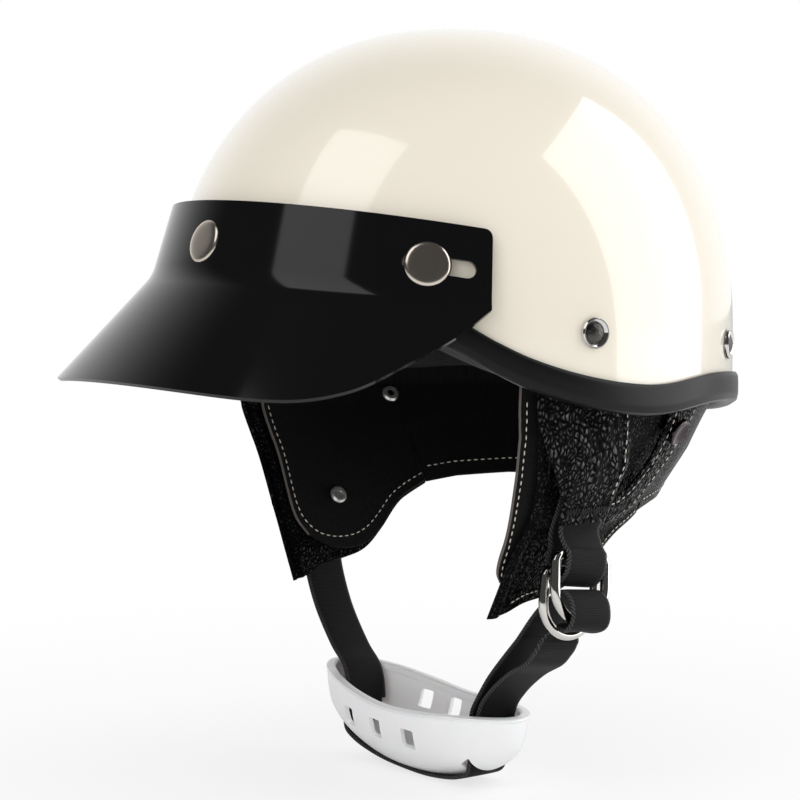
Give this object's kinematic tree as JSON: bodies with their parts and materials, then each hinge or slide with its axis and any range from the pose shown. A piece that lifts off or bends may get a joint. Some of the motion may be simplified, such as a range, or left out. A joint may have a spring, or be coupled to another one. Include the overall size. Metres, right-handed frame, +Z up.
{
  "type": "half shell motorcycle helmet",
  "caption": "Half shell motorcycle helmet with a peak held by three snaps, edge trim, leather ear flaps and neck curtain, double-ring chin strap and a vented open chin cup.",
  "frame": {"origin": "centre of the head cavity at the shell's widest level", "axes": "+Z up to the crown, -Y towards the face, +X towards the wearer's left side"},
  "size_m": [0.24, 0.3278, 0.3397],
  "materials": {
    "shell_paint": "gloss cream paint over glass fibre",
    "trim_rubber": "satin black",
    "liner_foam": "black expanded foam",
    "pad_fabric": "black brushed knit over foam",
    "patch_tape": "hook and loop tape",
    "strip_foam": "closed cell foam",
    "visor_gloss": "gloss black",
    "snap_chrome": "bright nickel",
    "socket_brass": "plated",
    "washer_steel": "zinc plated",
    "rivet_chrome": "polished",
    "rivet_dark": "hammered dark",
    "strap_leather": "grained black",
    "curtain_leather": "grained black",
    "curtain_lining": "ribbed black",
    "webbing": "black woven webbing",
    "ring_chrome": "polished",
    "cup_plastic": "white, satin gloss"
  },
  "bodies": {
    "shell": {"outer_shell": "shell_paint", "edge_trim": "trim_rubber", "impact_liner": "liner_foam", "crown_pad": "pad_fabric", "headband_pad": "pad_fabric", "liner_patches": "patch_tape", "curtain_strip": "strip_foam", "strap_rivets": "rivet_chrome", "rivet_domes": "rivet_dark", "strap_nuts": "washer_steel", "stud_washers": "washer_steel", "shell_stud_centre": "socket_brass", "shell_stud_left": "socket_brass", "shell_stud_right": "socket_brass", "left_front_strap": "strap_leather", "right_front_strap": "strap_leather", "left_rear_strap": "strap_leather", "right_rear_strap": "strap_leather", "left_ear_flap": "curtain_leather", "right_ear_flap": "curtain_leather", "left_ear_flap_lining": "curtain_lining", "right_ear_flap_lining": "curtain_lining", "nape_curtain": "curtain_leather", "nape_curtain_lining": "curtain_lining", "flap_buttons": "snap_chrome", "flap_posts": "washer_steel", "flap_rings": "ring_chrome", "left_ring_loop": "webbing", "right_strap_anchor": "webbing"},
    "visor": {"visor_peak": "visor_gloss", "visor_cap_centre": "snap_chrome", "visor_socket_centre": "socket_brass"},
    "left_snap": {"visor_cap_left": "snap_chrome", "visor_socket_left": "socket_brass"},
    "right_snap": {"visor_cap_right": "snap_chrome", "visor_socket_right": "socket_brass"},
    "chin_harness": {"chin_strap_left": "webbing", "chin_strap_right": "webbing", "strap_tail": "webbing", "strap_wrap": "webbing"},
    "outer_ring": {"d_ring_outer": "ring_chrome"},
    "inner_ring": {"d_ring_inner": "ring_chrome"},
    "cup": {"chin_cup": "cup_plastic", "strap_under_cup": "webbing"}
  },
  "joints": [
    {"name": "visor_pull_off", "type": "slide", "parent": "shell", "child": "visor", "axis": [0, -1, 0], "range_m": [0, 0.12]},
    {"name": "left_snap_float", "type": "slide", "parent": "visor", "child": "left_snap", "axis": [0.6045, 0.784, -0.1411], "range_m": [-0.0015, 0.0015]},
    {"name": "right_snap_float", "type": "slide", "parent": "visor", "child": "right_snap", "axis": [0.6045, -0.784, 0.1411], "range_m": [-0.0015, 0.0015]},
    {"name": "harness_swing", "type": "hinge", "parent": "shell", "child": "chin_harness", "pos_m": [0, -0.0095, -0.088], "axis": [1, 0, 0], "range_deg": [-15, 15], "deforming": ["left_ring_loop", "right_strap_anchor"]},
    {"name": "outer_ring_pivot", "type": "hinge", "parent": "chin_harness", "child": "outer_ring", "pos_m": [0.0894, -0.0095, -0.0985], "axis": [0, -0.9903, 0.1392], "range_deg": [0, 10], "deforming": ["strap_wrap"]},
    {"name": "inner_ring_pivot", "type": "hinge", "parent": "chin_harness", "child": "inner_ring", "pos_m": [0.0946, -0.00853, -0.09157], "axis": [0, -0.9903, 0.1392], "range_deg": [0, 6]},
    {"name": "chin_cup_slide", "type": "slide", "parent": "chin_harness", "child": "cup", "axis": [1, 0, 0], "range_m": [-0.008, 0.008], "deforming": ["chin_strap_left", "chin_strap_right", "strap_tail"]}
  ]
}
